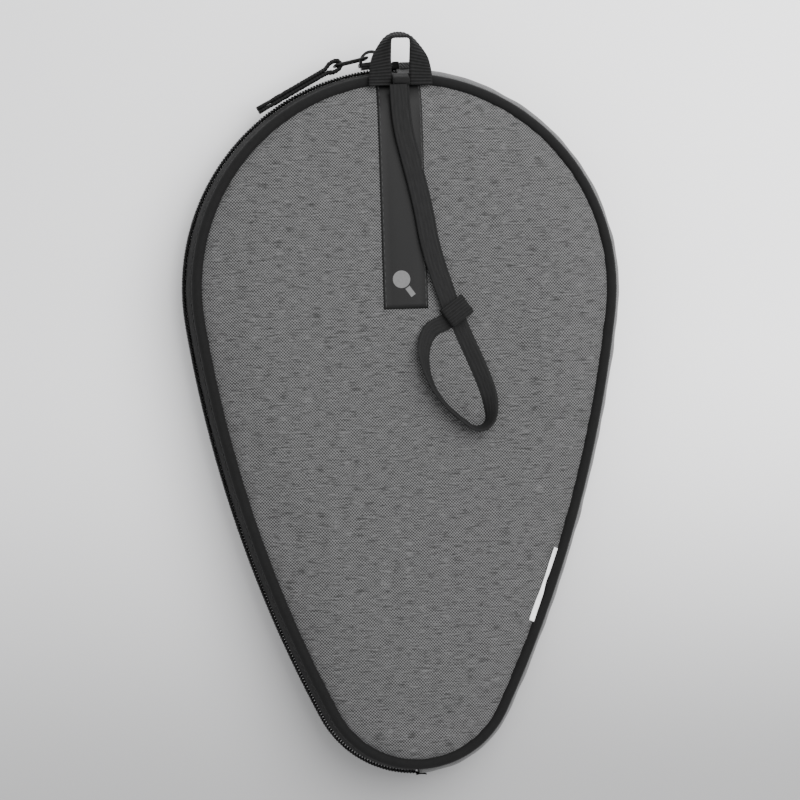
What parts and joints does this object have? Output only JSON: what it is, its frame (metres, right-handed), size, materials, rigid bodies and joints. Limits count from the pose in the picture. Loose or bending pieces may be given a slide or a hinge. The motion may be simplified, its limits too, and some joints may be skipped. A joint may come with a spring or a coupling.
{
  "type": "paddle case",
  "caption": "Padded egg-shaped zip case for a table tennis bat, with piped edges, a hanging loop, a smooth front band and a wrist strap with a sliding keeper.",
  "frame": {"origin": "centre of the case's box on the surface it lies on, back down, without the wrist strap", "axes": "+Z out of the front panel, +Y towards the hanging loop, +X to the right seen from the front"},
  "size_m": [0.1838, 0.3114, 0.0417],
  "materials": {
    "melange_fabric": "fine weave, mid grey melange",
    "foam": "matte",
    "lining": "matte",
    "black_trim": "matte woven tape",
    "black_webbing": "ribbed webbing",
    "smooth_band": "smooth coated, soft sheen",
    "mark_print": "matte print",
    "zip_metal": "black painted",
    "zip_coil": "nylon coil",
    "white_label": "woven satin",
    "cord_core": "extruded cord"
  },
  "bodies": {
    "case": {"back_panel_outer": "melange_fabric", "back_panel_foam": "foam", "back_panel_lining": "lining", "back_piping": "black_trim", "back_piping_cord": "cord_core", "back_binding": "black_trim", "gusset_outer": "melange_fabric", "gusset_foam": "foam", "gusset_lining": "lining", "front_panel_outer": "melange_fabric", "front_panel_foam": "foam", "front_panel_lining": "lining", "front_piping": "black_trim", "front_piping_cord": "cord_core", "front_binding": "black_trim", "zipper_tape_back": "black_trim", "zipper_coil_back": "zip_coil", "zipper_tape_front_ends": "black_trim", "zipper_coil_front_ends": "zip_coil", "zipper_top_stop": "black_trim", "zipper_bottom_stop": "black_trim", "front_band": "smooth_band", "band_mark": "mark_print", "side_label": "white_label", "hanging_loop": "black_webbing", "strap_anchor": "black_webbing", "wrist_strap_under": "black_webbing", "wrist_strap_over": "black_webbing", "wrist_strap_loop": "black_webbing"},
    "front_flap": {"flap_panel_outer": "melange_fabric", "flap_panel_foam": "foam", "flap_panel_lining": "lining", "flap_piping": "black_trim", "flap_piping_cord": "cord_core", "flap_binding": "black_trim", "zipper_tape_flap": "black_trim", "zipper_coil_flap": "zip_coil"},
    "slider": {"zip_slider": "zip_metal", "zip_slider_bail": "zip_metal"},
    "link": {"pull_link": "zip_metal"},
    "tab": {"pull_tab": "black_webbing"},
    "keeper": {"strap_keeper": "black_webbing"}
  },
  "joints": [
    {"name": "flap_fold", "type": "hinge", "parent": "case", "child": "front_flap", "pos_m": [-0.022, 0, 0.0322], "axis": [0, 1, 0], "range_deg": [0, 90]},
    {"name": "zip_travel", "type": "hinge", "parent": "case", "child": "slider", "pos_m": [0, 0.04815, 0.015], "axis": [0, 0, 1], "range_deg": [0, 60]},
    {"name": "link_swing", "type": "hinge", "parent": "slider", "child": "link", "pos_m": [-0.01202, 0.14432, 0.015], "axis": [0, 0, 1], "range_deg": [-95, 0]},
    {"name": "tab_swing", "type": "hinge", "parent": "link", "child": "tab", "pos_m": [-0.02529, 0.14135, 0.015], "axis": [0, 0, 1], "range_deg": [-70, 0]},
    {"name": "keeper_slide", "type": "slide", "parent": "case", "child": "keeper", "axis": [-0.3107, 0.9505, 0], "range_m": [0, 0.015]}
  ]
}
